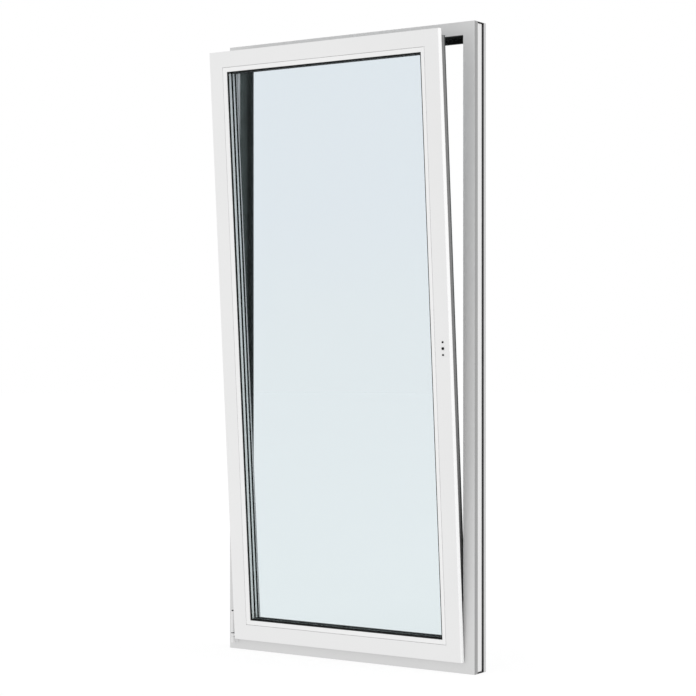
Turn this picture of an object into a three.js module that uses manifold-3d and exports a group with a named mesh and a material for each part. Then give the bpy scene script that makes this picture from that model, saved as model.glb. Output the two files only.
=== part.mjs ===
// Tilt-and-turn window of balcony-door height: a fixed outer frame, an inward
// opening sash with triple glazing, and the perimeter fittings between them.
// Millimetres. +X is to the right seen from the room, +Y is outdoors, +Z is up.
// The origin is on the frame's underside, mid-width, on its room-side bearing
// band. At rest the sash is tilted: its top leans into the room on the stay arm.
import * as THREE from 'three';
import { mergeVertices } from 'three/addons/utils/BufferGeometryUtils.js';
import Module from 'manifold-3d';

// ---- driving dimensions -------------------------------------------------
const W = 1040;            // outer frame width
const H = 2200;            // outer frame height
const T = 76;              // outer frame depth, room face to outdoor face
const LEG = 45;            // room-side leg of the frame, seen width
const LIP = 65;            // reach of the outdoor lip from the frame's edge
const SASH = 39;           // sash flange edge, measured in from the frame's edge
const PROUD = 23.5;        // sash face, in front of the frame's room face
const FLANGE = 20.4;       // thickness of the sash flange
const JOINT = 96;          // bead joint line, in from the frame's edge
const SIGHT = 112;         // glass sight line, in from the frame's edge
const NOSE = 108;          // outdoor sight line, in from the frame's edge
const BODY = 57;           // edge of the sash body inside the frame
const GLASS = 98;          // edge of the panes
const PANE = 4;            // pane thickness
const CAVITY = 18;         // gap between panes
const PANE_V = -15.5;      // room face of the inner pane, in frame depth
const TILT = 4.0;          // degrees that the sash leans in at rest
const HINGE_U = 25;        // turn axis, in from the frame's edge
const HINGE_V = -15;       // turn axis and tilt axis, in front of the room face
const TILT_Z = 52;         // height of the tilt axis
const HANDLE_Z = 1100;     // height of the spindle
const HANDLE_U = 65.2;     // spindle, in from the frame's edge
const SCREWS = 43;         // distance between the two handle screw holes
const ARM_REACH = 400;     // stay arm, pivot to slider pin along the sash
const ARM_BACK = 28;       // stay arm, slider pin behind the pivot when closed
const ARM_ANGLE = 21.16;   // degrees that the stay arm stands out at rest
const BAND = 9.5;          // origin, behind the room face, in the bearing band
const GAP = 0.15;          // half of the clearance in every mitre

// ---- materials ----------------------------------------------------------
const mat = (color, roughness, metalness, opacity = 1) =>
  new THREE.MeshStandardMaterial({ color, roughness, metalness, opacity, transparent: opacity < 1 });
const white = mat(0xeceded, 0.42, 0);
const dark = mat(0x23282a, 0.5, 0.3);
const rubber = mat(0x141515, 0.85, 0);
const steel = mat(0xb9bcbe, 0.32, 0.9);
const glass = mat(0xdce8ea, 0.03, 0, 0.3);
const block = mat(0x2f3a4a, 0.6, 0);

// ---- geometry helpers ---------------------------------------------------
const wasm = await Module();
wasm.setup();

function volume(p, idx) {
  let s = 0;
  for (let i = 0; i < idx.length; i += 3) {
    const [a, b, c] = [idx[i] * 3, idx[i + 1] * 3, idx[i + 2] * 3];
    s += p[a] * (p[b + 1] * p[c + 2] - p[b + 2] * p[c + 1])
       - p[a + 1] * (p[b] * p[c + 2] - p[b + 2] * p[c])
       + p[a + 2] * (p[b] * p[c + 1] - p[b + 1] * p[c]);
  }
  return s / 6;
}

// Positions and triangles to a closed, outward-facing geometry.
function solid(pos, idx) {
  if (volume(pos, idx) < 0) {
    for (let i = 0; i < idx.length; i += 3) [idx[i + 1], idx[i + 2]] = [idx[i + 2], idx[i + 1]];
  }
  const g = new THREE.BufferGeometry();
  g.setAttribute('position', new THREE.Float32BufferAttribute(pos, 3));
  g.setIndex(Array.from(idx));
  return g;
}

function clean(g) {
  g.deleteAttribute('normal');
  g.deleteAttribute('uv');
  const m = mergeVertices(g, 1e-4);
  return solid(Array.from(m.attributes.position.array), Array.from(m.index.array));
}

// A point of a section, at (u, v), placed t along one of the four sides.
// u runs inwards from the frame's outer edge and v outdoors from its room face.
function place(side, u, v, t) {
  const y = v - BAND;
  if (side === 'L') return [-W / 2 + u, y, t];
  if (side === 'R') return [W / 2 - u, y, t];
  if (side === 'T') return [t, y, H - u];
  return [t, y, u];
}

// A mitred member of a rectangular frame, with an optional chamber.
function bar(side, section, chambers = []) {
  const loops = [section, ...chambers];
  const flat = loops.flat();
  const faces = THREE.ShapeUtils.triangulateShape(
    section.map(([u, v]) => new THREE.Vector2(u, v)),
    chambers.map((c) => c.map(([u, v]) => new THREE.Vector2(u, v))));
  const pos = [];
  const n = flat.length;
  const long = side === 'L' || side === 'R' ? [0, H] : [-W / 2, W / 2];
  for (const [u, v] of flat) pos.push(...place(side, u, v, long[0] + u + GAP));
  for (const [u, v] of flat) pos.push(...place(side, u, v, long[1] - u - GAP));
  const idx = [];
  const area = THREE.ShapeUtils.area(section.map(([u, v]) => new THREE.Vector2(u, v)));
  for (const [a, b, c] of faces) {
    const s = (flat[b][0] - flat[a][0]) * (flat[c][1] - flat[a][1]) - (flat[b][1] - flat[a][1]) * (flat[c][0] - flat[a][0]);
    const [p, q, r] = s > 0 ? [a, b, c] : [a, c, b];
    idx.push(p, r, q, p + n, q + n, r + n);
  }
  let at = 0;
  loops.forEach((loop, k) => {
    const own = THREE.ShapeUtils.area(loop.map(([u, v]) => new THREE.Vector2(u, v)));
    const forward = k === 0 ? own > 0 : own < 0;
    for (let i = 0; i < loop.length; i++) {
      let a = at + i, b = at + (i + 1) % loop.length;
      if (!forward) [a, b] = [b, a];
      idx.push(a, b, b + n, a, b + n, a + n);
    }
    at += loop.length;
  });
  return solid(pos, idx);
}

// The same section run round all four sides as one ring.
function ring(section) {
  const n = section.length;
  const pos = [];
  for (const [sx, top] of [[-1, 0], [1, 0], [1, 1], [-1, 1]]) {
    for (const [u, v] of section) pos.push(sx * (W / 2 - u), v - BAND, top ? H - u : u);
  }
  const idx = [];
  for (let c = 0; c < 4; c++) {
    const d = (c + 1) % 4;
    for (let i = 0; i < n; i++) {
      const j = (i + 1) % n;
      idx.push(c * n + i, c * n + j, d * n + j, c * n + i, d * n + j, d * n + i);
    }
  }
  return solid(pos, idx);
}

// An outline extruded along one axis. The outline's two numbers are (y, z) for
// 'x', (x, z) for 'y' and (x, y) for 'z'.
function prism(axis, outline, from, to, holes = []) {
  const shape = new THREE.Shape(outline.map(([a, b]) => new THREE.Vector2(a, b)));
  for (const h of holes) shape.holes.push(new THREE.Path(h.map(([a, b]) => new THREE.Vector2(a, b))));
  const g = new THREE.ExtrudeGeometry(shape, { depth: to - from, bevelEnabled: false, curveSegments: 1 });
  const p = g.attributes.position;
  for (let i = 0; i < p.count; i++) {
    const [a, b, c] = [p.getX(i), p.getY(i), p.getZ(i) + from];
    if (axis === 'x') p.setXYZ(i, c, a, b);
    else if (axis === 'y') p.setXYZ(i, a, c, b);
    else p.setXYZ(i, a, b, c);
  }
  return clean(g);
}

const rect = (a0, a1, b0, b1) => [[a0, b0], [a1, b0], [a1, b1], [a0, b1]];
const circle = (a, b, r, n = 12) => Array.from({ length: n }, (_, i) => {
  const w = (i + 0.5) / n * Math.PI * 2;
  return [a + r * Math.cos(w), b + r * Math.sin(w)];
});
const slot = (a, b, half, r, n = 4) => {   // stands along the second axis
  const out = [];
  for (let i = 0; i <= n; i++) { const w = i / n * Math.PI; out.push([a + r * Math.cos(w), b + half + r * Math.sin(w)]); }
  for (let i = 0; i <= n; i++) { const w = Math.PI + i / n * Math.PI; out.push([a + r * Math.cos(w), b - half + r * Math.sin(w)]); }
  return out;
};
const slotAcross = (a, b, half, r, n = 4) => slot(b, a, half, r, n).map(([p, q]) => [q, p]).reverse();
const cuboid = (x0, x1, y0, y1, z0, z1) => prism('z', rect(x0, x1, y0, y1), z0, z1);

// A turned part: profile of [radius, along], spun about an axis through (a, b).
function turned(axis, profile, a, b, n = 14) {
  const g = new THREE.LatheGeometry(profile.map(([r, h]) => new THREE.Vector2(r, h)), n);
  const p = g.attributes.position;
  for (let i = 0; i < p.count; i++) {
    const [x, h, z] = [p.getX(i), p.getY(i), p.getZ(i)];
    if (axis === 'z') p.setXYZ(i, a + x, b + z, h);
    else if (axis === 'y') p.setXYZ(i, a + x, h, b + z);
    else p.setXYZ(i, h, a + x, b + z);
  }
  g.deleteAttribute('normal');
  g.deleteAttribute('uv');
  const m = mergeVertices(g, 1e-4);
  const q = Array.from(m.attributes.position.array), t = Array.from(m.index.array), keep = [];
  for (let i = 0; i < t.length; i += 3) {
    if (t[i] !== t[i + 1] && t[i + 1] !== t[i + 2] && t[i] !== t[i + 2]) keep.push(t[i], t[i + 1], t[i + 2]);
  }
  return solid(q, keep);
}

function toManifold(g) {
  return new wasm.Manifold(new wasm.Mesh({
    numProp: 3,
    vertProperties: new Float32Array(g.attributes.position.array),
    triVerts: new Uint32Array(g.index.array),
  }));
}
function fromManifold(m) {
  const k = m.getMesh();
  const pos = [];
  for (let i = 0; i < k.vertProperties.length; i += k.numProp) {
    pos.push(k.vertProperties[i], k.vertProperties[i + 1], k.vertProperties[i + 2]);
  }
  return solid(pos, Array.from(k.triVerts));
}
const cut = (g, ...tools) => fromManifold(tools.reduce((m, t) => m.subtract(toManifold(t)), toManifold(g)));
const join = (g, ...more) => fromManifold(more.reduce((m, t) => m.add(toManifold(t)), toManifold(g)));

// ---- scene graph --------------------------------------------------------
const group = new THREE.Group();
const tilted = new THREE.Group();          // turns about the tilt axis
tilted.position.set(0, HINGE_V - BAND, TILT_Z);
tilted.rotation.x = THREE.MathUtils.degToRad(TILT);
const sash = new THREE.Group();            // drawn closed, upright
sash.position.set(0, -(HINGE_V - BAND), -TILT_Z);
tilted.add(sash);
group.add(tilted);

function add(parent, name, geometry, material) {
  geometry.computeVertexNormals();
  const m = new THREE.Mesh(geometry, material);
  m.name = name;
  parent.add(m);
  return m;
}
const SIDES = { head: 'T', sill: 'B', hinge: 'L', lock: 'R' };
const RAILS = { top: 'T', bottom: 'B', hinge: 'L', lock: 'R' };

// ---- outer frame --------------------------------------------------------
// The outer edge carries a shallow groove and a deep slot for the wall seal.
const frameSection = [
  [1, 0], [LEG - 1, 0], [LEG, 1], [LEG, 3], [LEG - 2, 3], [LEG - 2, 53.3],
  [LIP - 2.3, 53.3], [LIP - 2.3, 56.2], [50.8, T - 2.3], [2.7, T - 2.3], [2.7, T], [0, T],
  [0, 61.5], [14, 61.5], [14, 49.5], [1.5, 49.5], [1.5, 21.5], [0, 21.5], [0, 1],
];
for (const [n, s] of Object.entries(SIDES)) add(group, `frame_${n}`, bar(s, frameSection), white);

// Dark outdoor cladding: face, sloped nose and the front of the lip.
const cladSection = [
  [3, T], [52, T], [LIP, 57], [LIP, 51], [LEG + 0.3, 51], [LEG + 0.3, 53],
  [LIP - 2, 53], [LIP - 2, 56.4], [51.1, T - 2], [3, T - 2],
];
for (const [n, s] of Object.entries(SIDES)) add(group, `frame_clad_${n}`, bar(s, cladSection), dark);

// Rebate lining with its sealing lip against the sash.
add(group, 'frame_rebate_seal', ring([
  [LEG - 1.7, 3.3], [LEG, 3.3], [LEG, 49.6], [LIP - 2, 49.6], [LIP - 2, 50.7], [LEG - 1.7, 50.7],
]), rubber);

// Wall seal strips in the side slots, with a pad at both ends.
for (const [n, sx] of [['hinge', -1], ['lock', 1]]) {
  const X = (u0, u1) => (sx < 0 ? [-W / 2 + u0, -W / 2 + u1] : [W / 2 - u1, W / 2 - u0]);
  const y = (v) => v - BAND;
  const box = (u0, u1, v0, v1, z0, z1) => cuboid(...X(u0, u1), y(v0), y(v1), z0, z1);
  add(group, `side_seal_${n}`, join(
    box(10, 13.7, 49.8, 61.2, 0.4, H - 0.4),
    box(0.6, 13.7, 49.8, 61.2, H - 6, H - 0.4), box(0.6, 13.7, 49.8, 61.2, 0.4, 6),
    box(0.4, 1.2, 22, 50.1, H - 6, H - 0.4), box(0.4, 1.2, 22, 50.1, 0.4, 6)), rubber);
}

// Keeper plates on the rebate floor, opposite the cams.
const keeper = (side, t) => {
  const y = (v) => v - BAND;
  const pts = [[-40, 0], [40, 0], [40, 1.6], [30, 1.6], [24, 7], [-24, 7], [-30, 1.6], [-40, 1.6]];
  const out = pts.map(([a, h]) => (side === 'R' ? [W / 2 - LEG - 0.3 - h, t + a] : side === 'T' ? [t + a, H - LEG - 0.3 - h] : [t + a, LEG + 0.3 + h]));
  return prism('y', out, y(13), y(27));
};
const CAMS = { lock_upper: ['R', 1780], lock_lower: ['R', 420], top: ['T', 250], bottom: ['B', 250] };
add(group, 'keeper_lock_upper', keeper('R', 1762), steel);
add(group, 'keeper_lock_lower', keeper('R', 402), steel);
add(group, 'keeper_head', keeper('T', 250), steel);
add(group, 'keeper_sill', keeper('B', 250), steel);

// ---- hinge side bearings ------------------------------------------------
const HX = -W / 2 + HINGE_U;
const HY = HINGE_V - BAND;
const FACE = -BAND;
// Barrel round the turn axis with a web to the frame's room face.
function bearing(z0, z1) {
  const out = [];
  const r = 6;
  for (let i = 0; i <= 8; i++) { const w = Math.PI + i / 8 * Math.PI; out.push([HX + r * Math.cos(w), HY + r * Math.sin(w)]); }
  out.push([HX + r, FACE - 3.2], [HX + 13, FACE - 3.2], [HX + 13, FACE - 0.3], [HX - 16, FACE - 0.3], [HX - 16, FACE - 3.2], [HX - r, FACE - 3.2]);
  return prism('z', out, z0, z1, [circle(HX, HY, 2.7, 10)]);
}
add(group, 'stay_bearing', bearing(2086, 2147), white);
add(group, 'stay_pin', turned('z', [[0, 2084], [2.2, 2084], [2.2, 2151.6], [4, 2151.6], [4, 2153.4], [0, 2153.4]], HX, HY, 12), steel);
add(group, 'corner_bearing', bearing(24, 45.4), white);
add(group, 'corner_pin', turned('z', [[0, 26], [2.2, 26], [2.2, 138.5], [4.4, 138.5], [4.4, 141.6], [0, 141.6]], HX, HY, 12), dark);

// Corner hinge: the barrel that turns on the corner pin and carries the
// horizontal tilt pin that enters the sash.
add(group, 'corner_hinge', cut(
  join(turned('z', [[0, 46], [6, 46], [6, 57.4], [3.9, 57.4], [3.9, 60.4], [6, 60.4], [6, 138], [0, 138]], HX, HY, 16),
    turned('x', [[0, HX + 1], [3.4, HX + 1], [3.4, HX + 20.5], [0, HX + 20.5]], HY, TILT_Z, 12)),
  turned('z', [[0, 40], [2.7, 40], [2.7, 145], [0, 145]], HX, HY, 12)), white);

// Stay arm: eye on the stay pin, a crank behind the sash flange, a long bar and
// the slider pin that hangs over the guide.
{
  const pivot = new THREE.Group();
  pivot.position.set(HX, HY, 0);
  pivot.rotation.z = THREE.MathUtils.degToRad(-ARM_ANGLE);
  group.add(pivot);
  const c = [[0, 6], [-5.2, 3], [-5.2, -3], [0, -6], [5, -3.4], [13, 2.2], [37, 2.2], [62, ARM_BACK - 6.5], [ARM_REACH + 3, ARM_BACK - 6.5],
    [ARM_REACH + 7, ARM_BACK - 3], [ARM_REACH + 7, ARM_BACK + 3], [ARM_REACH + 3, ARM_BACK + 6.5], [55, ARM_BACK + 6.5], [31, 10.2], [8, 10.2]];
  const flat = prism('z', c, 2148, 2151, [circle(0, 0, 2.7, 10)]);
  const pin = turned('z', [[0, 2144.2], [2.5, 2144.2], [2.5, 2149.5], [0, 2149.5]], ARM_REACH, ARM_BACK, 10);
  add(pivot, 'stay_arm', join(flat, pin), steel);
}

// ---- sash ---------------------------------------------------------------
const F0 = -PROUD;                 // sash face
const F1 = -PROUD + FLANGE;        // back of the flange
const V3 = PANE_V + 3 * PANE + 2 * CAVITY;     // outdoor face of the outer pane
const sashSection = [
  [SASH + 0.9, F0 + 0.9], [SASH + 3, F0], [JOINT - 0.2, F0], [JOINT - 0.2, F0 + 5.7], [92, F0 + 5.7], [92, V3 + 3.8],
  [NOSE - 2.3, V3 + 3.8], [NOSE - 2.3, 40.5], [94.5, 59.7], [69.8, 59.7], [69.8, 47], [59.3, 47], [59.3, 43.7], [BODY, 43.7],
  [BODY, 25], [67, 25], [67, 5], [BODY, 5], [BODY, F1], [SASH, F1], [SASH, F0 + 3],
];
const y = (v) => v - BAND;
const stayNotch = cuboid(-W / 2 + SASH - 2, -W / 2 + 100, y(-13), y(F1 + 0.01), H - 59, H - SASH + 2);
const tiltHole = turned('x', [[0, -W / 2 + 30], [4.3, -W / 2 + 30], [4.3, -W / 2 + 46.6], [0, -W / 2 + 46.6]], HY, TILT_Z, 12);
const SX = W / 2 - HANDLE_U;
const handleCuts = [
  cuboid(W / 2 - 85.5, W / 2 - 60, y(5), y(25), HANDLE_Z - 66, HANDLE_Z + 66),
  turned('y', [[0, y(F0) - 2], [6, y(F0) - 2], [6, y(8)], [0, y(8)]], SX, HANDLE_Z, 14),
  turned('y', [[0, y(F0) - 2], [2.6, y(F0) - 2], [2.6, y(8)], [0, y(8)]], SX, HANDLE_Z + SCREWS / 2, 10),
  turned('y', [[0, y(F0) - 2], [2.6, y(F0) - 2], [2.6, y(8)], [0, y(8)]], SX, HANDLE_Z - SCREWS / 2, 10),
];
add(sash, 'sash_top', cut(bar('T', sashSection), stayNotch), white);
add(sash, 'sash_bottom', bar('B', sashSection), white);
add(sash, 'sash_hinge', cut(bar('L', sashSection), stayNotch, tiltHole), white);
add(sash, 'sash_lock', cut(bar('R', sashSection), ...handleCuts), white);

const sashClad = [
  [BODY, 44], [BODY, 49.3], [67.5, 49.3], [67.5, 62], [96, 62], [NOSE, 41.2], [NOSE, V3 + 4.1], [NOSE - 2, V3 + 4.1],
  [NOSE - 2, 40.7], [94.8, 60], [69.5, 60], [69.5, 47.3], [59, 47.3], [59, 44],
];
for (const [n, s] of Object.entries(RAILS)) add(sash, `sash_clad_${n}`, bar(s, sashClad), dark);

// Glazing beads: level with the sash at the joint, sloping in to the glass.
const beadSection = [
  [JOINT + 0.1, F0 + 0.6], [JOINT + 0.7, F0], [JOINT + 3.5, F0], [SIGHT - 1.2, F0 + 2.9], [SIGHT, F0 + 4.1], [SIGHT, PANE_V - 2.6],
  [GLASS - 0.4, PANE_V - 2.6], [GLASS - 0.4, -13.5], [92.3, -13.5], [92.3, F0 + 6], [JOINT + 0.1, F0 + 6],
];
for (const [n, s] of Object.entries(RAILS)) add(sash, `bead_${n}`, bar(s, beadSection), white);

// Panes, spacers and glazing seals.
const paneAt = (v) => cuboid(-W / 2 + GLASS, W / 2 - GLASS, y(v), y(v + PANE), GLASS, H - GLASS);
add(sash, 'pane_inner', paneAt(PANE_V), glass);
add(sash, 'pane_middle', paneAt(PANE_V + PANE + CAVITY), glass);
add(sash, 'pane_outer', paneAt(PANE_V + 2 * (PANE + CAVITY)), glass);
const spacer = (v) => ring([[100, v + 0.2], [112.6, v + 0.2], [113.8, v + 1.2], [113.8, v + CAVITY - 1.2], [112.6, v + CAVITY - 0.2], [100, v + CAVITY - 0.2]]);
add(sash, 'spacer_inner', spacer(PANE_V + PANE), rubber);
add(sash, 'spacer_outer', spacer(PANE_V + 2 * PANE + CAVITY), rubber);
add(sash, 'glazing_seal_inner', ring([[102, PANE_V - 2.3], [SIGHT + 0.4, PANE_V - 2.3], [SIGHT + 0.5, PANE_V - 3.1], [114.4, PANE_V - 1.2], [114.6, PANE_V - 0.3], [102, PANE_V - 0.3]]), rubber);
add(sash, 'glazing_seal_outer', ring([[102, V3 + 0.3], [111.5, V3 + 0.3], [111.5, V3 + 1.4], [NOSE + 0.4, V3 + 3.4], [102, V3 + 3.4]]), rubber);
add(sash, 'setting_block_hinge', cuboid(-340, -240, y(-13.2), y(V3 + 1), 92.3, GLASS - 0.3), block);
add(sash, 'setting_block_lock', cuboid(240, 340, y(-13.2), y(V3 + 1), 92.3, GLASS - 0.3), block);

// Overlap seal on the back of the flange.
add(sash, 'sash_seal', ring([[40.6, F1 + 0.3], [44.6, F1 + 0.3], [44.2, F1 + 1.7], [41.6, F1 + 1.7]].map(([u, v]) => [u, v])), rubber);

// ---- perimeter fittings on the sash ------------------------------------
const CAM_V = 19;
const TRAVEL = 36;
// Faceplates close the groove in the sash edge; each cam has its slot.
add(sash, 'faceplate_lock', prism('x', rect(y(5.5), y(24.5), 140, H - 140), W / 2 - BODY - 2.4, W / 2 - BODY - 0.4,
  [slot(y(CAM_V), 1780 - TRAVEL / 2, TRAVEL / 2, 4.4), slot(y(CAM_V), 420 - TRAVEL / 2, TRAVEL / 2, 4.4)]), steel);
add(sash, 'faceplate_top', prism('z', rect(-70, 380, y(5.5), y(24.5)), H - BODY - 2.4, H - BODY - 0.4,
  [slotAcross(250 + TRAVEL / 2, y(CAM_V), TRAVEL / 2, 4.4)]), steel);
add(sash, 'faceplate_bottom', prism('z', rect(-380, 380, y(5.5), y(24.5)), BODY + 0.4, BODY + 2.4,
  [slotAcross(250 - TRAVEL / 2, y(CAM_V), TRAVEL / 2, 4.4)]), steel);
// Corner drives lead the motion round the two lock-side corners.
for (const [n, z0, s] of [['top', H, -1], ['bottom', 0, 1]]) {
  const e = W / 2 - BODY, o = z0 + s * BODY;
  const L = [[383, o + s * 0.4], [e - 0.4, o + s * 0.4], [e - 0.4, z0 + s * 137], [e - 2.4, z0 + s * 137], [e - 2.4, o + s * 2.4], [383, o + s * 2.4]];
  add(sash, `corner_drive_${n}`, prism('y', L, y(5.5), y(24.5)), steel);
}
// Gearbox case, open towards the faceplate, with the spindle follower in it.
add(sash, 'gear_case', cut(cuboid(W / 2 - 84, W / 2 - 60.2, y(5.4), y(16.6), HANDLE_Z - 60, HANDLE_Z + 60),
  turned('y', [[0, y(5.4) - 2], [6.2, y(5.4) - 2], [6.2, y(16.6) + 2], [0, y(16.6) + 2]], SX, HANDLE_Z, 16)), steel);
add(sash, 'spindle_follower', prism('y', circle(SX, HANDLE_Z, 5.5, 14), y(5.8), y(16.2), [rect(SX - 3.5, SX + 3.5, HANDLE_Z - 3.5, HANDLE_Z + 3.5)]), steel);
// Drive rods behind the faceplates, and the cams that stand on them.
add(sash, 'drive_rod_lock', cuboid(W / 2 - 65.8, W / 2 - 59.8, y(17.5), y(20.5), 200, 2000), steel);
add(sash, 'drive_rod_top', cuboid(-60, 330, y(17.5), y(20.5), H - 65.8, H - 59.8), steel);
add(sash, 'drive_rod_bottom', cuboid(-330, 330, y(17.5), y(20.5), 59.8, 65.8), steel);
const camProfile = (base, s) => [[0, base], [3.9, base], [3.9, base + s * 3.4], [4.8, base + s * 3.4], [4.8, base + s * 5.9], [0, base + s * 5.9]];
for (const [n, [side, t]] of Object.entries(CAMS)) {
  const g = side === 'R' ? turned('x', camProfile(W / 2 - 59.5, 1), y(CAM_V), t, 12)
    : side === 'T' ? turned('z', camProfile(H - 59.5, 1), t, y(CAM_V), 12)
      : turned('z', camProfile(59.5, -1), t, y(CAM_V), 12);
  add(sash, `cam_${n}`, g, steel);
}
// Guide on the sash top edge, in whose slot the stay arm's pin slides.
add(sash, 'stay_guide', prism('z', rect(-134, -72, y(2), y(28)), H - BODY + 0.3, H - BODY + 4,
  [slotAcross(HX + ARM_REACH - 8.5, y(HINGE_V + ARM_BACK), 9.5, 4)]), steel);

export default group;
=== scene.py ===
import math

import bmesh
import bpy
import numpy as np
from mathutils import Matrix, Vector


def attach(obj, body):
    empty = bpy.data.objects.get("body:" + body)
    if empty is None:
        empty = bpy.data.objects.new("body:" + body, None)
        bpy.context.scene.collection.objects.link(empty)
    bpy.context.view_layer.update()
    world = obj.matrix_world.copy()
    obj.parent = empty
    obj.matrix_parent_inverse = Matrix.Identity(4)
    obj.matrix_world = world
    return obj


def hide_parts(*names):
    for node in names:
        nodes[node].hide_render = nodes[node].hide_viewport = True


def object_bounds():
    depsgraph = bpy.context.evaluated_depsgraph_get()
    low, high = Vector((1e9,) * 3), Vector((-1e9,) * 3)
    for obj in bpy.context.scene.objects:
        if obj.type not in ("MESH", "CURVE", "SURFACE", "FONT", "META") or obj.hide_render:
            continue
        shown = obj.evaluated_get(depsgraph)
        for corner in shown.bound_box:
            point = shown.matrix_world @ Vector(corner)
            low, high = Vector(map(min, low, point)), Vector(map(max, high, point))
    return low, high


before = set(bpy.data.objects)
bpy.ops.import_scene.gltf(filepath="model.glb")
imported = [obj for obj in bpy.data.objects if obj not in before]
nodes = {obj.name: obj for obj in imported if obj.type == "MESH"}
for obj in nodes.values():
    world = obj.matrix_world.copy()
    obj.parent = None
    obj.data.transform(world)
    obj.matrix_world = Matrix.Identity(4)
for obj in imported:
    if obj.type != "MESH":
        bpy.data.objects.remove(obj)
cad_lo, cad_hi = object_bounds()

# ------------------------------------------------------------------ sizes, mm
W, H = 1040.0, 2200.0
BAND = 9.5
TILT = math.radians(4.0)
AXIS_Y, AXIS_Z = -24.5, 52.0
SASH_TURN = (
    Matrix.Translation((0, AXIS_Y / 1000, AXIS_Z / 1000))
    @ Matrix.Rotation(TILT, 4, "X")
    @ Matrix.Translation((0, -AXIS_Y / 1000, -AXIS_Z / 1000))
)
STILL = Matrix.Identity(4)
HX = -W / 2 + 25
HY = AXIS_Y
HANDLE_X, HANDLE_Z = W / 2 - 65.2, 1100.0


def Y(v):
    return v - BAND


# ------------------------------------------------------------- node materials
class Mat:
    """A small helper round one node material."""

    def __init__(self, name):
        self.m = bpy.data.materials.new(name)
        self.m.use_nodes = True
        self.t = self.m.node_tree
        self.t.nodes.clear()
        self.out = self.t.nodes.new("ShaderNodeOutputMaterial")
        self.tc = self.t.nodes.new("ShaderNodeTexCoord")

    def node(self, kind, **values):
        n = self.t.nodes.new(kind)
        for k, v in values.items():
            if hasattr(n, k) and k not in n.inputs:
                setattr(n, k, v)
            else:
                n.inputs[k].default_value = v
        return n

    def link(self, a, b):
        self.t.links.new(a, b)

    def mapping(self, scale):
        n = self.node("ShaderNodeMapping")
        n.inputs["Scale"].default_value = scale
        self.link(self.tc.outputs["Object"], n.inputs["Vector"])
        return n.outputs["Vector"]

    def noise(self, scale, detail=3.0, rough=0.5, stretch=(1, 1, 1), dist=0.0):
        n = self.node("ShaderNodeTexNoise")
        n.inputs["Scale"].default_value = scale
        n.inputs["Detail"].default_value = detail
        n.inputs["Roughness"].default_value = rough
        n.inputs["Distortion"].default_value = dist
        self.link(self.mapping(stretch), n.inputs["Vector"])
        return n.outputs["Fac"]

    def ramp(self, fac, stops, interpolation="LINEAR"):
        n = self.node("ShaderNodeValToRGB")
        r = n.color_ramp
        r.interpolation = interpolation
        while len(r.elements) < len(stops):
            r.elements.new(0.5)
        for e, (p, c) in zip(r.elements, stops):
            e.position = p
            e.color = (*c, 1) if len(c) == 3 else c
        self.link(fac, n.inputs["Fac"])
        return n.outputs["Color"]

    def scale(self, fac, a, b):
        n = self.node("ShaderNodeMapRange")
        n.inputs["To Min"].default_value = a
        n.inputs["To Max"].default_value = b
        self.link(fac, n.inputs["Value"])
        return n.outputs["Result"]

    def mix(self, fac, a, b, blend="MIX"):
        n = self.node("ShaderNodeMix", data_type="RGBA", blend_type=blend)
        if isinstance(fac, float):
            n.inputs[0].default_value = fac
        else:
            self.link(fac, n.inputs[0])
        for k, v in ((6, a), (7, b)):
            if isinstance(v, tuple):
                n.inputs[k].default_value = (*v, 1)
            else:
                self.link(v, n.inputs[k])
        return n.outputs[2]

    def bump(self, height, strength, distance, onto=None):
        n = self.node("ShaderNodeBump")
        n.inputs["Strength"].default_value = strength
        n.inputs["Distance"].default_value = distance
        self.link(height, n.inputs["Height"])
        if onto is not None:
            self.link(onto, n.inputs["Normal"])
        return n.outputs["Normal"]

    def surface(self, color, roughness, normal=None, metallic=0.0, specular=0.5, coat=0.0, coat_rough=0.1, ior=1.5):
        b = self.node("ShaderNodeBsdfPrincipled")
        b.inputs["Metallic"].default_value = metallic
        b.inputs["Specular IOR Level"].default_value = specular
        b.inputs["IOR"].default_value = ior
        b.inputs["Coat Weight"].default_value = coat
        b.inputs["Coat Roughness"].default_value = coat_rough
        if isinstance(color, tuple):
            b.inputs["Base Color"].default_value = (*color, 1)
        else:
            self.link(color, b.inputs["Base Color"])
        if isinstance(roughness, float):
            b.inputs["Roughness"].default_value = roughness
        else:
            self.link(roughness, b.inputs["Roughness"])
        if normal is not None:
            self.link(normal, b.inputs["Normal"])
        self.link(b.outputs["BSDF"], self.out.inputs["Surface"])
        return self.m


def tone(c, k):
    return tuple(x * k for x in c)


def pvc(name, base, rough=(0.30, 0.44), specular=0.4, vary=0.02):
    """Extruded white PVC: soft gloss, faint drawing lines along the bar and a very fine orange peel."""
    s = Mat(name)
    cloud = s.noise(2.2, 4.0, 0.55)
    color = s.ramp(cloud, [(0.25, tone(base, 1 - vary)), (0.75, tone(base, 1 + vary * 0.6))])
    speck = s.noise(900, 2.0, 0.6)
    color = s.mix(s.scale(speck, 0.0, 0.05), color, tone(base, 0.9))
    peel = s.noise(1400, 2.0, 0.5)
    flow = s.noise(60, 3.0, 0.5, (1, 1, 0.02))
    n = s.bump(peel, 0.10, 0.0002)
    n = s.bump(flow, 0.05, 0.0004, n)
    return s.surface(color, s.scale(s.noise(7, 4.0, 0.6), *rough), n, specular=specular)


def powder_coat(name, base, rough=(0.42, 0.58), specular=0.3):
    """Powder-coated aluminium: fine pebble texture with a slight drift in tone."""
    s = Mat(name)
    color = s.ramp(s.noise(5, 4.0, 0.6), [(0.3, tone(base, 0.86)), (0.7, tone(base, 1.12))])
    grain = s.noise(2600, 3.0, 0.65)
    color = s.mix(s.scale(grain, 0.0, 0.35), color, tone(base, 1.6))
    n = s.bump(grain, 0.30, 0.0002)
    n = s.bump(s.noise(500, 2.0, 0.5), 0.12, 0.0004, n)
    return s.surface(color, s.scale(grain, *rough), n, specular=specular)


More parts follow.
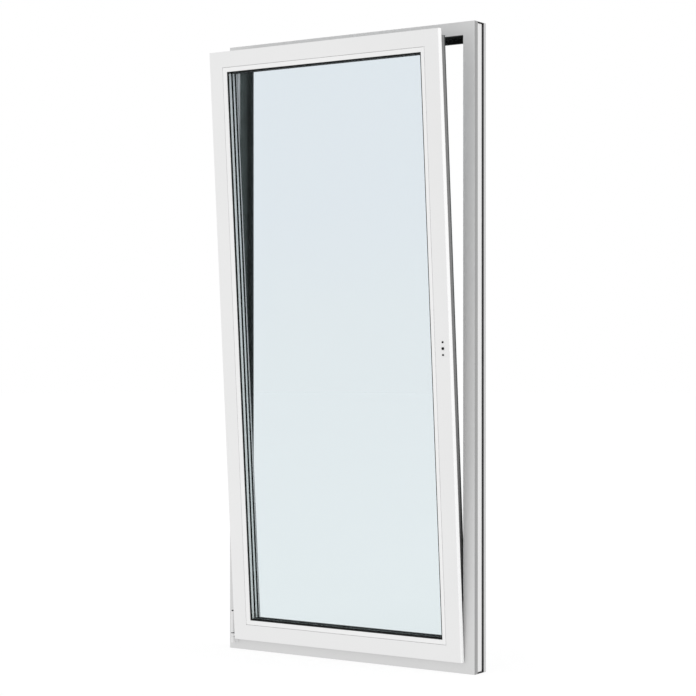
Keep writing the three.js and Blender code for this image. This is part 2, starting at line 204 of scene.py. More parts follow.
def rubber(name, base, rough=(0.55, 0.75), specular=0.2, lines=(1, 1, 0.03)):
    """Extruded EPDM: matt, with faint extrusion lines and a dusting of lighter specks."""
    s = Mat(name)
    color = s.ramp(s.noise(14, 4.0, 0.6), [(0.3, tone(base, 0.75)), (0.75, tone(base, 1.35))])
    dust = s.ramp(s.noise(700, 3.0, 0.6), [(0.60, (0, 0, 0)), (0.78, (1, 1, 1))])
    color = s.mix(s.scale(dust, 0.0, 0.12), color, tone((0.25, 0.26, 0.26), 1))
    n = s.bump(s.noise(300, 2.0, 0.5, lines), 0.22, 0.0003)
    return s.surface(color, s.scale(s.noise(40, 3.0, 0.5), *rough), n, specular=specular)


def zinc(name, base=(0.60, 0.61, 0.62), rough=(0.26, 0.42), stretch=(1, 1, 0.05), metallic=0.9):
    """Zinc-plated steel: rolled along the strip, with passivation drift and small scuffs."""
    s = Mat(name)
    color = s.ramp(s.noise(9, 5.0, 0.65), [(0.25, tone(base, 0.82)), (0.5, base), (0.8, tone((base[0], base[1] * 1.0, base[2] * 1.03), 1.1))])
    scuff = s.ramp(s.noise(160, 4.0, 0.7, stretch), [(0.62, (0, 0, 0)), (0.72, (1, 1, 1))])
    color = s.mix(s.scale(scuff, 0.0, 0.25), color, tone(base, 0.6))
    brush = s.noise(1200, 3.0, 0.6, stretch)
    n = s.bump(brush, 0.15, 0.0002)
    return s.surface(color, s.scale(brush, *rough), n, metallic=metallic, specular=0.5)


PVC = (0.780, 0.780, 0.780)
# The frame's white PVC is set darker than the sash's: painted shade, standing in for the shade the leaning sash casts
# on the frame.
m_frame_painted_shade = pvc("frame_pvc_white_painted_shade", (0.715, 0.715, 0.715))
m_sash = pvc("sash_pvc_white", (0.885, 0.885, 0.885))
# The bead's white PVC is set lighter than the sash's: painted light.
m_bead_painted_light = pvc("bead_pvc_white_painted_light", (0.94, 0.94, 0.94), rough=(0.26, 0.38))
# The frame's outer side is one white PVC: the front band, the slot and the back band take grey and dark tones as
# painted shade; the groove floor keeps a white tone.
m_band_front_painted_shade = pvc("jamb_band_front_painted_shade", (0.30, 0.30, 0.30), rough=(0.5, 0.65))
m_band_groove = pvc("jamb_groove_white", (0.70, 0.70, 0.70))
m_band_back_painted_shade = pvc("jamb_band_back_painted_shade", (0.52, 0.52, 0.52), rough=(0.45, 0.6))
m_slot_painted_shade = pvc("jamb_slot_painted_shade", (0.10, 0.10, 0.10), rough=(0.6, 0.8))
m_clad = powder_coat("cladding_dark", (0.028, 0.033, 0.034))
# Light tone on the inner face of the dark cladding's glazing nose: painted highlight.
m_nose_painted_highlight = pvc("glazing_lip_painted_highlight", (0.86, 0.87, 0.87), rough=(0.3, 0.4))
m_seal = rubber("seal_black", (0.006, 0.0065, 0.0065))
m_liner = rubber("rebate_liner", (0.085, 0.100, 0.095), rough=(0.5, 0.7))
m_side_seal = rubber("wall_seal_black", (0.010, 0.010, 0.010))
m_spacer_dark = rubber("spacer_butyl", (0.006, 0.007, 0.007), specular=0.15)
m_spacer_grey = rubber("spacer_grey", (0.050, 0.056, 0.056), specular=0.2)
# Light strip on the spacers' upright runs: painted reflection.
m_spacer_painted_reflection = pvc("spacer_painted_reflection", (0.78, 0.80, 0.79), rough=(0.4, 0.55))
# The sash body's outer side behind the flange and its hardware groove get a grey tone: painted shade.
m_sash_edge_painted_shade = pvc("sash_edge_painted_shade", (0.20, 0.20, 0.20), rough=(0.5, 0.65), specular=0.25)
# The walls of the handle holes are near black: painted shade inside the bores.
m_bore_painted_shade = pvc("handle_bore_painted_shade", (0.012, 0.012, 0.012), rough=(0.6, 0.75), specular=0.1)
# Near-black copy of the rebate lining for its two level runs: painted shade.
m_liner_level_painted_shade = rubber("rebate_liner_level_painted_shade", (0.010, 0.011, 0.011), rough=(0.6, 0.8), specular=0.1)
m_zinc = zinc("zinc_steel")
m_zinc_x = zinc("zinc_steel_across", stretch=(0.05, 1, 1))
m_zinc_dark = zinc("zinc_steel_gear", base=(0.33, 0.34, 0.35), rough=(0.38, 0.55))
m_hinge = pvc("hinge_white_coat", (0.83, 0.83, 0.83), rough=(0.22, 0.34), specular=0.5)
# Dark coat of the hinge pin, also used on the ring in the hinge groove as painted shade.
m_hinge_dark = powder_coat("hinge_pin_dark_and_gap_shade", (0.016, 0.016, 0.017))
m_block = pvc("setting_block_blue", (0.045, 0.075, 0.13), rough=(0.4, 0.6))


def glass_material():
    """Clear float glass seen against white: a light green-blue tint at each face and a faint reflection that grows at grazing angles."""
    s = Mat("glass_clear")
    s.m.blend_method = "BLEND" if hasattr(s.m, "blend_method") else None
    geo = s.node("ShaderNodeSeparateXYZ")
    s.link(s.tc.outputs["Object"], geo.inputs["Vector"])
    up = s.node("ShaderNodeMapRange")
    up.inputs["From Min"].default_value = 0.2
    up.inputs["From Max"].default_value = 2.1
    s.link(geo.outputs["Z"], up.inputs["Value"])
    cloud = s.noise(1.3, 2.0, 0.5)
    wave = s.node("ShaderNodeMath", operation="MULTIPLY_ADD")
    s.link(cloud, wave.inputs[0])
    wave.inputs[1].default_value = 0.5
    s.link(up.outputs["Result"], wave.inputs[2])
    tint = s.ramp(wave.outputs[0], [(0.2, (0.9560, 0.9700, 0.9735)), (0.75, (0.9545, 0.9675, 0.9730)), (1.0, (0.9520, 0.9650, 0.9735))])
    clear = s.node("ShaderNodeBsdfTransparent")
    s.link(tint, clear.inputs["Color"])
    shine = s.node("ShaderNodeBsdfGlossy")
    shine.inputs["Color"].default_value = (0.95, 1.0, 1.0, 1)
    shine.inputs["Roughness"].default_value = 0.02
    edge = s.node("ShaderNodeLayerWeight")
    edge.inputs["Blend"].default_value = 0.5
    power = s.node("ShaderNodeMath", operation="POWER")
    s.link(edge.outputs["Facing"], power.inputs[0])
    power.inputs[1].default_value = 5.0
    fac = s.scale(power.outputs[0], 0.0025, 0.45)
    m = s.node("ShaderNodeMixShader")
    s.link(fac, m.inputs[0])
    s.link(clear.outputs[0], m.inputs[1])
    s.link(shine.outputs[0], m.inputs[2])
    s.link(m.outputs[0], s.out.inputs["Surface"])
    return s.m


m_glass = glass_material()

SLOT_OF = {
    m_frame_painted_shade: "frame_pvc", m_sash: "sash_pvc", m_bead_painted_light: "sash_pvc", m_clad: "cladding", m_seal: "seal",
    m_liner: "seal", m_side_seal: "seal", m_spacer_dark: "spacer", m_glass: "glass", m_zinc: "fittings",
    m_zinc_x: "fittings", m_zinc_dark: "fittings", m_hinge: "hinge_white", m_hinge_dark: "hinge_dark", m_block: "setting_block",
}


# --------------------------------------------------------------- mesh builders
def fillet(profile, fine=1.0):
    """Corners (u, v, radius, material) to a smooth outline: list of (u, v, material of the edge that follows)."""
    out = []
    n = len(profile)
    for i, (u, v, r, m) in enumerate(profile):
        pu, pv, _, pm = profile[i - 1]
        nu, nv, _, _ = profile[(i + 1) % n]
        a = Vector((pu - u, pv - v))
        b = Vector((nu - u, nv - v))
        la, lb = a.length, b.length
        a.normalize()
        b.normalize()
        cosine = max(-1.0, min(1.0, a.dot(b)))
        ang = math.acos(cosine)
        if r <= 0 or ang > math.radians(176):
            out.append((u, v, m))
            continue
        d = min(r / math.tan(ang / 2), la * 0.48, lb * 0.48)
        r = d * math.tan(ang / 2)
        turn = math.pi - ang
        steps = max(2, int(round(turn / math.radians(18) * fine)))
        c = Vector((u, v)) + (a + b).normalized() * (r / math.sin(ang / 2))
        p0 = Vector((u, v)) + a * d - c
        p1 = Vector((u, v)) + b * d - c
        w0 = math.atan2(p0.y, p0.x)
        dw = math.atan2(p1.y, p1.x) - w0
        dw = (dw + math.pi) % (2 * math.pi) - math.pi
        for k in range(steps + 1):
            w = w0 + dw * k / steps
            out.append((c.x + r * math.cos(w), c.y + r * math.sin(w), pm if k < steps // 2 else m))
    return out


def place(side, u, v, t):
    y = Y(v)
    if side == "L":
        return (-W / 2 + u, y, t)
    if side == "R":
        return (W / 2 - u, y, t)
    if side == "T":
        return (t, y, H - u)
    return (t, y, u)


def finish_mesh(name, verts, faces, mats, face_mats=None, turn=STILL, smooth=32.0, scale=0.001):
    me = bpy.data.meshes.new(name)
    me.from_pydata([tuple(c * scale for c in v) for v in verts], [], faces)
    for m in mats:
        me.materials.append(m)
    if face_mats:
        for p, k in zip(me.polygons, face_mats):
            p.material_index = k
    me.transform(turn)
    bm = bmesh.new()
    bm.from_mesh(me)
    bmesh.ops.recalc_face_normals(bm, faces=bm.faces)
    bm.to_mesh(me)
    bm.free()
    me.shade_smooth()
    me.set_sharp_from_angle(angle=math.radians(smooth))
    o = bpy.data.objects.new(name, me)
    bpy.context.scene.collection.objects.link(o)
    return o


def bar(name, side, profile, mats, gap=0.03, turn=STILL, smooth=32.0):
    """A mitred member with a rounded section."""
    out = fillet(profile)
    n = len(out)
    lo, hi = (0, H) if side in "LR" else (-W / 2, W / 2)
    verts = [place(side, u, v, lo + u + gap) for u, v, _ in out] + [place(side, u, v, hi - u - gap) for u, v, _ in out]
    faces, fm = [], []
    for i in range(n):
        j = (i + 1) % n
        faces.append((i, j, j + n, i + n))
        fm.append(out[i][2])
    faces.append(tuple(range(n)))
    faces.append(tuple(range(2 * n - 1, n - 1, -1)))
    fm += [0, 0]
    return finish_mesh(name, verts, faces, mats, fm, turn, smooth)


def ring(name, profile, mats, turn=STILL, smooth=40.0, vertical=None, deeper=0.0):
    """The same section run round the whole rectangle. vertical maps a material index to the one used on the two upright runs;
    deeper is the extra reach of the inner face on the two level runs."""
    out = fillet(profile)
    n = len(out)
    verts = []
    for sx, top in ((-1, 0), (1, 0), (1, 1), (-1, 1)):
        for u, v, _ in out:
            h = u + (deeper if u > 110 else 0.0)
            verts.append((sx * (W / 2 - u), Y(v), H - h if top else h))
    faces, fm = [], []
    for c in range(4):
        d = (c + 1) % 4
        upright = c in (1, 3)
        for i in range(n):
            j = (i + 1) % n
            faces.append((c * n + i, c * n + j, d * n + j, d * n + i))
            k = out[i][2]
            fm.append(vertical.get(k, k) if vertical and upright else k)
    return finish_mesh(name, verts, faces, mats, fm, turn, smooth)


def circle(a, b, r, n):
    return [(a + r * math.cos(2 * math.pi * (i + 0.5) / n), b + r * math.sin(2 * math.pi * (i + 0.5) / n)) for i in range(n)]


def prism_data(axis, outline, lo, hi):
    def at(a, b, c):
        return {"x": (c, a, b), "y": (a, c, b), "z": (a, b, c)}[axis]

    n = len(outline)
    verts = [at(a, b, lo) for a, b in outline] + [at(a, b, hi) for a, b in outline]
    faces = [(i, (i + 1) % n, (i + 1) % n + n, i + n) for i in range(n)]
    faces += [tuple(range(n)), tuple(range(2 * n - 1, n - 1, -1))]
    return verts, faces


def prism(name, axis, outline, lo, hi, mats, turn=STILL, smooth=32.0):
    v, f = prism_data(axis, outline, lo, hi)
    return finish_mesh(name, v, f, mats, None, turn, smooth)


def cuboid(name, x0, x1, y0, y1, z0, z1, mats=()):
    return prism(name, "z", [(x0, y0), (x1, y0), (x1, y1), (x0, y1)], z0, z1, mats)


def turned_data(axis, profile, a, b, n=32, caps=True):
    """profile of (radius, along); closes at radius 0."""
    verts, faces, rings = [], [], []

    def at(x, z, h):
        return {"z": (a + x, b + z, h), "y": (a + x, h, b + z), "x": (h, a + x, b + z)}[axis]

    for r, h in profile:
        if r <= 1e-9:
            rings.append([len(verts)])
            verts.append(at(0, 0, h))
        else:
            rings.append(list(range(len(verts), len(verts) + n)))
            verts += [at(r * math.cos(2 * math.pi * i / n), r * math.sin(2 * math.pi * i / n), h) for i in range(n)]
    for p, q in zip(rings, rings[1:]):
        for i in range(n):
            j = (i + 1) % n
            if len(p) == 1 and len(q) == 1:
                continue
            if len(p) == 1:
                faces.append((p[0], q[i], q[j]))
            elif len(q) == 1:
                faces.append((p[i], p[j], q[0]))
            else:
                faces.append((p[i], p[j], q[j], q[i]))
    if caps:
        for r in (rings[0], rings[-1]):
            if len(r) > 1:
                faces.append(tuple(r))
    return verts, faces


def turned(name, axis, profile, a, b, mats, n=32, turn=STILL, smooth=35.0):
    v, f = turned_data(axis, profile, a, b, n)
    return finish_mesh(name, v, f, mats, None, turn, smooth)


def cut(o, cutters, smooth=32.0):
    """Cuts holes with the exact boolean and keeps the result as a plain mesh."""
    for c in cutters:
        m = o.modifiers.new("cut", "BOOLEAN")
        m.operation = "DIFFERENCE"
        m.solver = "EXACT"
        m.object = c
    bpy.context.view_layer.update()
    dg = bpy.context.evaluated_depsgraph_get()
    me = bpy.data.meshes.new_from_object(o.evaluated_get(dg), preserve_all_data_layers=True, depsgraph=dg)
    o.modifiers.clear()
    old = o.data
    o.data = me
    me.name = old.name + "_cut"
    for c in cutters:
        bpy.data.objects.remove(c, do_unlink=True)
    me.shade_smooth()
    me.set_sharp_from_angle(angle=math.radians(smooth))
    return o


def turn_by(o, m):
    o.data.transform(m)
    o.data.update()
    return o


def put(o, body, slot, *replaced):
    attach(o, body)
    if replaced:
        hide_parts(*replaced)
    return o


# ----------------------------------------------------------------- outer frame
FRAME_MATS = [m_frame_painted_shade, m_band_front_painted_shade, m_band_groove, m_slot_painted_shade, m_band_back_painted_shade]
# Material indices 1 (front band), 3 (slot) and 4 (back band) carry painted shade on the outer side; 2 is the groove
# floor.
frame_profile = [
    (0, 0, 1.1, 0), (45, 0, 1.3, 0), (45, 3, 0.3, 0), (43, 3, 0, 0), (43, 53.3, 0, 0), (62.7, 53.3, 0, 0), (62.7, 56.2, 0, 0),
    (50.8, 73.7, 0, 0), (2.7, 73.7, 0, 4), (2.7, 76, 0, 4), (0, 76, 0.6, 4), (0, 61.5, 0.5, 3), (14, 61.5, 0.4, 3), (14, 49.5, 0.4, 3),
    (1.5, 49.5, 0.3, 2), (1.5, 21.5, 0.3, 2), (0, 21.5, 0.4, 1),
]
for node, side in (("head", "T"), ("sill", "B"), ("hinge", "L"), ("lock", "R")):
    o = bar(f"frame_{node}_profile", side, frame_profile, FRAME_MATS)
    put(o, "frame", "frame_pvc", f"frame_{node}")

clad_profile = [
    (3, 76, 0.8, 0), (52, 76, 2.2, 0), (65, 57, 2.0, 0), (65, 51, 1.2, 0), (45.3, 51, 0.3, 0), (45.3, 53, 0, 0),
    (63, 53, 0, 0), (63, 56.4, 0, 0), (51.1, 74, 0, 0), (3, 74, 0, 0),
]
for node, side in (("head", "T"), ("sill", "B"), ("hinge", "L"), ("lock", "R")):
    o = bar(f"frame_cladding_{node}", side, clad_profile, [m_clad])
    put(o, "frame", "cladding", f"frame_clad_{node}")

# Rebate lining: a thin skin on the rebate floor with ribs and a soft sealing lip. The head and sill runs take a
# near-black copy of the lining tone: painted shade.
liner_profile = [
    (43.3, 3.3, 0, 0), (44.6, 3.3, 0.3, 0), (45.0, 4.4, 0.2, 0), (45.0, 29.0, 0.2, 0), (44.4, 29.6, 0.2, 0), (44.4, 31.4, 0.2, 0),
    (45.0, 32.0, 0.2, 0), (45.0, 44.5, 0.3, 0), (46.2, 46.0, 0.6, 0), (48.0, 49.65, 0.5, 0), (62.4, 49.65, 0.3, 0), (63, 50.0, 0.2, 0), (63, 50.7, 0.3, 0), (43.3, 50.7, 0, 0),
]
put(ring("frame_rebate_lining", liner_profile, [m_liner_level_painted_shade, m_liner], vertical={0: 1}), "frame", "seal", "frame_rebate_seal")

# ------------------------------------------------------------------------ sash
# Index 1 (body side and hardware groove) carries painted shade; index 2 is the painted shade inside the handle bores.
sash_profile = [
    (39, -23.5, 2.2, 0), (95.5, -23.5, 0.5, 0), (95.5, -17.8, 0.2, 0), (92, -17.8, 0, 0), (92, 36.3, 0, 0), (105.7, 36.3, 0, 0),
    (105.7, 40.5, 0, 0), (94.5, 59.7, 0, 0), (69.8, 59.7, 0, 0), (69.8, 47, 0, 0), (59.3, 47, 0, 0), (59.3, 43.7, 0, 0),
    (57, 43.7, 0.6, 1), (57, 25, 0.5, 1), (67, 25, 0.4, 1), (67, 5, 0.4, 1), (57, 5, 0.5, 1), (57, -3.1, 0.4, 0), (39, -3.1, 0.9, 0),
]
sash = {}
for node, side in (("top", "T"), ("bottom", "B"), ("hinge", "L"), ("lock", "R")):
    sash[node] = bar(f"sash_{node}_profile", side, sash_profile, [m_sash, m_sash_edge_painted_shade, m_bore_painted_shade])


def stay_notch():
    return cuboid("cutter", -W / 2 + 37, -W / 2 + 100, Y(-13), Y(-3.09), H - 59, H - 37)


cut(sash["top"], [stay_notch()])
tv, tf = turned_data("x", [(0, -W / 2 + 30), (4.3, -W / 2 + 30), (4.3, -W / 2 + 46.6), (0, -W / 2 + 46.6)], HY, AXIS_Z, 24)
cut(sash["hinge"], [stay_notch(), finish_mesh("cutter", tv, tf, [])])
cutters = [cuboid("cutter", W / 2 - 85.5, W / 2 - 60, Y(5), Y(25), HANDLE_Z - 66, HANDLE_Z + 66)]
for r, lip, dz in ((4.4, 0.4, 0.0), (2.7, 0.6, 21.5), (2.7, 0.6, -21.5)):
    y0 = Y(-23.5)
    v, f = turned_data("y", [(0, y0 - 2), (r + lip, y0 - 2), (r + lip, y0 - 0.02), (r, y0 + lip), (r, Y(8)), (0, Y(8))], HANDLE_X, HANDLE_Z + dz, 32)
    cutters.append(finish_mesh("cutter", v, f, [m_sash, m_sash_edge_painted_shade, m_bore_painted_shade], [2] * len(f)))
cut(sash["lock"], cutters)
for node in sash:
    turn_by(sash[node], SASH_TURN)
    put(sash[node], "sash", "sash_pvc", f"sash_{node}")

# Index 1, the inner face of the glazing nose, carries a painted highlight.
sash_clad_profile = [
    (57, 44, 0.2, 0), (57, 49.3, 0.7, 0), (67.5, 49.3, 0.4, 0), (67.5, 62, 1.6, 0), (96, 62, 2.2, 0), (108.2, 43.0, 0.9, 1), (108.2, 36.6, 0.4, 0),
    (106, 36.6, 0, 0), (106, 40.7, 0, 0), (94.8, 60, 0, 0), (69.5, 60, 0, 0), (69.5, 47.3, 0, 0), (59, 47.3, 0, 0), (59, 44, 0, 0),
]
bead_profile = [
    (96.7, -23.5, 0.6, 0), (99.5, -23.5, 2.4, 0), (110.8, -20.6, 0.9, 0), (112, -19.4, 0.5, 0), (112, -18.1, 0.2, 0), (97.6, -18.1, 0, 0),
    (97.6, -13.5, 0, 0), (92.3, -13.5, 0, 0), (92.3, -17.5, 0, 0), (96.7, -17.5, 0, 0),
]
for node, side in (("top", "T"), ("bottom", "B"), ("hinge", "L"), ("lock", "R")):
    o = bar(f"sash_cladding_{node}", side, sash_clad_profile, [m_clad, m_nose_painted_highlight], turn=SASH_TURN)
    put(o, "sash", "cladding", f"sash_clad_{node}")
    o = bar(f"glazing_bead_{node}", side, bead_profile, [m_bead_painted_light], turn=SASH_TURN, smooth=40.0)
    put(o, "sash", "sash_pvc", f"bead_{node}")

# Panes with ground arrises.
for k, (node, v0) in enumerate((("inner", -15.5), ("middle", 6.5), ("outer", 28.5))):
    e = 0.5
    rings_ = [(98 + e, v0), (98, v0 + e), (98, v0 + 4 - e), (98 + e, v0 + 4)]
    verts, faces = [], []
    for u, v in rings_:
        for sx, top in ((-1, 0), (1, 0), (1, 1), (-1, 1)):
            verts.append((sx * (W / 2 - u), Y(v), H - u if top else u))
    for a in range(3):
        for i in range(4):
            j = (i + 1) % 4
            faces.append((a * 4 + i, a * 4 + j, a * 4 + 4 + j, a * 4 + 4 + i))
    faces += [(3, 2, 1, 0), (12, 13, 14, 15)]
    put(finish_mesh(f"glass_pane_{node}", verts, faces, [m_glass], None, SASH_TURN, 20.0), "sash", "glass", f"pane_{node}")

# Spacer bars: butyl at both panes, a moulded bar between. The bar's face shows a light strip on the two upright runs,
# which is painted reflection; on the level runs the same face is dark grey.
for node, v0, light in (("inner", -11.5, 13.2), ("outer", 10.5, 10.5)):
    prof = [
        (100, v0 + 0.2, 0, 0), (112.2, v0 + 0.2, 0.4, 0), (112.7, v0 + 1.3, 0.3, 0), (113.8, v0 + 1.5, 0.4, 1), (113.8, v0 + 4.5, 0, 2),
        (113.8, v0 + light, 0, 3), (113.8, v0 + 16.5, 0.4, 0), (112.7, v0 + 16.7, 0.3, 0), (112.2, v0 + 17.8, 0.4, 0), (100, v0 + 17.8, 0, 0),
    ]
    o = ring(
        f"glass_spacer_{node}", prof, [m_spacer_dark, m_spacer_dark, m_spacer_grey, m_spacer_dark, m_spacer_painted_reflection], SASH_TURN,
        vertical={1: 4, 2: 4, 3: 0}, deeper=3.4,
    )
    put(o, "sash", "spacer", f"spacer_{node}")

seal_in = [
    (102, -17.8, 0.3, 0), (112.4, -17.8, 0.2, 0), (112.6, -18.4, 0.2, 0), (113.6, -18.3, 0.3, 0), (116.4, -16.8, 0.3, 0), (116.5, -15.8, 0.2, 0),
    (108.5, -15.8, 0.3, 0), (107.8, -16.5, 0.3, 0), (106.4, -16.5, 0.3, 0), (105.6, -15.8, 0.3, 0), (102, -15.8, 0.3, 0),
]
seal_out = [
    (102, 32.8, 0.3, 0), (111.5, 32.8, 0.3, 0), (111.5, 33.9, 0.4, 0), (109.6, 35.2, 0.4, 0), (108.4, 35.9, 0.3, 0), (102, 35.9, 0.3, 0),
]
put(ring("glazing_gasket_inner", seal_in, [m_seal], SASH_TURN), "sash", "seal", "glazing_seal_inner")
put(ring("glazing_gasket_outer", seal_out, [m_seal], SASH_TURN), "sash", "seal", "glazing_seal_outer")
overlap = [
    (40.6, -2.8, 0.2, 0), (44.6, -2.8, 0.2, 0), (44.4, -2.2, 0.3, 0), (43.2, -2.0, 0.2, 0), (42.4, -1.4, 0.3, 0), (41.4, -1.4, 0.3, 0), (40.9, -2.0, 0.3, 0),
]
put(ring("sash_overlap_gasket", overlap, [m_seal], SASH_TURN), "sash", "seal", "sash_seal")

# ------------------------------------------------- hardware carried over from CAD
CARRIED = {
    m_zinc: ["faceplate_lock", "drive_rod_lock", "keeper_lock_upper", "keeper_lock_lower", "cam_lock_upper", "cam_lock_lower", "corner_drive_top", "corner_drive_bottom", "stay_pin"],
    m_zinc_x: ["faceplate_top", "faceplate_bottom", "drive_rod_top", "drive_rod_bottom", "keeper_head", "keeper_sill", "cam_top", "cam_bottom", "stay_arm", "stay_guide"],
    m_zinc_dark: ["gear_case", "spindle_follower"],
    m_hinge: ["stay_bearing", "corner_bearing", "corner_hinge"],
    m_hinge_dark: ["corner_pin"],
    m_side_seal: ["side_seal_hinge", "side_seal_lock"],
    m_block: ["setting_block_hinge", "setting_block_lock"],
}
for material, names in CARRIED.items():
    for n in names:
        o = nodes[n]
        o.data.materials.clear()
        o.data.materials.append(material)
        for p in o.data.polygons:
            p.material_index = 0
        w = o.modifiers.new("weld", "WELD")
        w.merge_threshold = 0.00001
        b = o.modifiers.new("edge", "BEVEL")
        b.width = 0.00035 if n not in ("stay_bearing", "corner_bearing", "corner_hinge") else 0.0005
        b.segments = 2
        b.limit_method = "ANGLE"
        b.angle_limit = math.radians(40)
        b.harden_normals = False
        o.data.shade_smooth()
        o.data.set_sharp_from_angle(angle=math.radians(38))


# Dark ring in the groove of the corner hinge, a closed ring round the pin: painted shade standing in for the shadow of
# the gap between the hinge cover parts.
gap_shade_ring = [(4.0, 57.6), (5.5, 57.6), (5.8, 57.9), (5.8, 59.9), (5.5, 60.2), (4.0, 60.2)]
cv, cf = turned_data("z", gap_shade_ring, HX, HY, 40, caps=False)
last = 40 * (len(gap_shade_ring) - 1)
cf += [(last + i, last + (i + 1) % 40, (i + 1) % 40, i) for i in range(40)]
put(finish_mesh("corner_hinge_gap_shade_ring", cv, cf, [m_hinge_dark]), "turn_carrier", "hinge_dark")


# Countersunk screws with a cross recess.
def screw_data(r=3.4):
    bm = bmesh.new()
    n = 28
    prof = [(r, 0.0), (r * 0.97, 0.16), (r * 0.86, 0.34), (r * 0.70, 0.42)]
    rings_ = []
    for rad, h in prof:
        rings_.append([bm.verts.new((rad * math.cos(2 * math.pi * i / n), rad * math.sin(2 * math.pi * i / n), h)) for i in range(n)])
    base = [bm.verts.new((v.co.x, v.co.y, -1.0)) for v in rings_[0]]
    rings_.insert(0, base)
    for a, b in zip(rings_, rings_[1:]):
        for i in range(n):
            j = (i + 1) % n
            bm.faces.new((a[i], a[j], b[j], b[i]))
    bm.faces.new(list(reversed(base)))
    w, l = r * 0.13, r * 0.52
    cross = [(w, w), (w, l), (-w, l), (-w, w), (-l, w), (-l, -w), (-w, -w), (-w, -l), (w, -l), (w, -w), (l, -w), (l, w)]
    top = [bm.verts.new((x, y, 0.42)) for x, y in cross]
    low = [bm.verts.new((x * 0.8, y * 0.8, -0.6)) for x, y in cross]
    edges = []
    for i in range(n):
        edges.append(bm.edges.get((rings_[-1][i], rings_[-1][(i + 1) % n])))
    for i in range(12):
        edges.append(bm.edges.new((top[i], top[(i + 1) % 12])))
    bmesh.ops.triangle_fill(bm, use_beauty=True, use_dissolve=False, edges=edges)
    inner = set(top)
    for f in [f for f in bm.faces if all(v in inner for v in f.verts)]:
        bm.faces.remove(f)
    for i in range(12):
        j = (i + 1) % 12
        bm.faces.new((top[i], top[j], low[j], low[i]))
    bm.faces.new(low)
    bmesh.ops.recalc_face_normals(bm, faces=bm.faces)
    bm.verts.index_update()
    verts = [tuple(v.co) for v in bm.verts]
    faces = [tuple(v.index for v in f.verts) for f in bm.faces]
    bm.free()
    return verts, faces


def screws(name, places, outward, mats, body, slot, r=3.4, turn=STILL, spin=0.4):
    """One piece holding several screws whose heads face along outward."""
    sv, sf = screw_data(r)
    q = Vector(outward).to_track_quat("Z", "Y").to_matrix()
    verts, faces = [], []
    for k, p in enumerate(places):
        s = Matrix.Rotation(spin + k * 0.7, 3, "Z")
        at = len(verts)
        for v in sv:
            w = q @ (s @ Vector(v)) + Vector(p)
            verts.append(tuple(w))
        faces += [tuple(i + at for i in f) for f in sf]
    return put(finish_mesh(name, verts, faces, mats, None, turn, 30.0), body, slot)


def slot_free(z, taken, reach=34):
    return all(abs(z - t) > reach for t in taken)


# faceplate screws sit on the outer face of the strip
fx = W / 2 - 57.4
zs = [z for z in (165, 330, 560, 760, 960, 1240, 1450, 1650, 1870, 2035) if slot_free(z, (402, 1762))]
screws("screws_faceplate_lock", [(fx, Y(11.5), z) for z in zs], (1, 0, 0), [m_zinc], "sash", "fittings", turn=SASH_TURN)
screws("screws_faceplate_top", [(x, Y(11.5), H - 57.4) for x in (-50, 90, 210, 355)], (0, 0, 1), [m_zinc], "sash", "fittings", turn=SASH_TURN)
screws("screws_faceplate_bottom", [(x, Y(11.5), 57.4) for x in (-355, -210, -60, 90, 195, 355)], (0, 0, -1), [m_zinc], "sash", "fittings", turn=SASH_TURN)
screws("screws_corner_drives", [(fx, Y(15), H - 118), (fx, Y(15), 118)], (1, 0, 0), [m_zinc], "sash", "fittings", turn=SASH_TURN)
for n, c in (("keeper_lock_upper", 1762), ("keeper_lock_lower", 402)):
    screws(f"screws_{n}", [(W / 2 - 45.3 - 1.6, Y(20), c - 35), (W / 2 - 45.3 - 1.6, Y(20), c + 35)], (-1, 0, 0), [m_zinc], "frame", "fittings", r=2.8)
screws("screws_keeper_head", [(250 - 35, Y(20), H - 46.9), (250 + 35, Y(20), H - 46.9)], (0, 0, -1), [m_zinc], "frame", "fittings", r=2.8)
screws("screws_keeper_sill", [(250 - 35, Y(20), 46.9), (250 + 35, Y(20), 46.9)], (0, 0, 1), [m_zinc], "frame", "fittings", r=2.8)

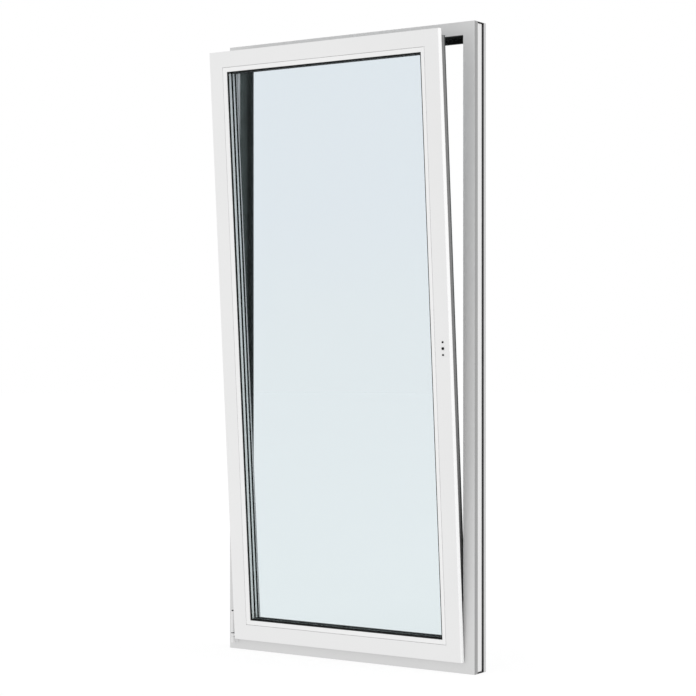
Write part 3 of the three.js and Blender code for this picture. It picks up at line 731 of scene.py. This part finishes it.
# ------------------------------------------------------------- floor and light
bm = bmesh.new()
bmesh.ops.create_circle(bm, cap_ends=True, radius=40.0, segments=96)
me = bpy.data.meshes.new("floor")
bm.to_mesh(me)
bm.free()
floor = bpy.data.objects.new("floor", me)
bpy.context.scene.collection.objects.link(floor)
floor.location = (0, 0, cad_lo.z - 0.0005)
s = Mat("floor_pale")
shade = s.ramp(s.noise(0.8, 3.0, 0.5), [(0.3, (0.175, 0.175, 0.175)), (0.7, (0.185, 0.185, 0.185))])
me.materials.append(s.surface(shade, 0.9, specular=0.0))
glow = s.t.nodes["Principled BSDF"]
glow.inputs["Emission Color"].default_value = (1, 1, 1, 1)
glow.inputs["Emission Strength"].default_value = 0.85
floor.visible_diffuse = False
floor.visible_glossy = False

# An even soft dome, with a white backdrop behind the object.
world = bpy.data.worlds.new("studio")
bpy.context.scene.world = world
world.use_nodes = True
wt = world.node_tree
dome = wt.nodes["Background"]
dome.inputs["Color"].default_value = (1, 1, 1, 1)
dome.inputs["Strength"].default_value = 0.866
backdrop = wt.nodes.new("ShaderNodeBackground")
backdrop.inputs["Color"].default_value = (1, 1, 1, 1)
backdrop.inputs["Strength"].default_value = 1.0
path = wt.nodes.new("ShaderNodeLightPath")
both = wt.nodes.new("ShaderNodeMixShader")
wt.links.new(path.outputs["Is Camera Ray"], both.inputs[0])
wt.links.new(dome.outputs[0], both.inputs[1])
wt.links.new(backdrop.outputs[0], both.inputs[2])
wt.links.new(both.outputs[0], wt.nodes["World Output"].inputs["Surface"])


def area(name, location, target, size, power):
    d = bpy.data.lights.new(name, "AREA")
    d.shape = "RECTANGLE"
    d.size, d.size_y = size
    d.energy = power
    o = bpy.data.objects.new(name, d)
    bpy.context.scene.collection.objects.link(o)
    o.location = location
    o.rotation_euler = (Vector(target) - Vector(location)).to_track_quat("-Z", "Y").to_euler()
    o.visible_camera = False
    o.visible_glossy = False
    return o


area("soft_key", (-7.9, -11.1, 0.6), (0.0, 0.0, 1.0), (6, 4), 210)
area("soft_right", (6.8, 1.0, 1.6), (0.4, 0.0, 1.1), (3, 4), 135)

# ---------------------------------------------------------------------- camera
cam = bpy.data.cameras.new("camera")
camera = bpy.data.objects.new("camera", cam)
bpy.context.scene.collection.objects.link(camera)
bpy.context.scene.camera = camera
cam.sensor_fit = "HORIZONTAL"
cam.sensor_width = 36.0
cam.lens = 98.618
yaw = math.radians(34.378)
camera.location = (3.7866, -5.5372, 1.0989)
forward = Vector((-math.sin(yaw), math.cos(yaw), 0))
camera.rotation_mode = "QUATERNION"
camera.rotation_quaternion = forward.to_track_quat("-Z", "Y")
cam.clip_start, cam.clip_end = 0.1, 100

bpy.context.scene.view_settings.view_transform = "Standard"
bpy.context.scene.view_settings.look = "None"
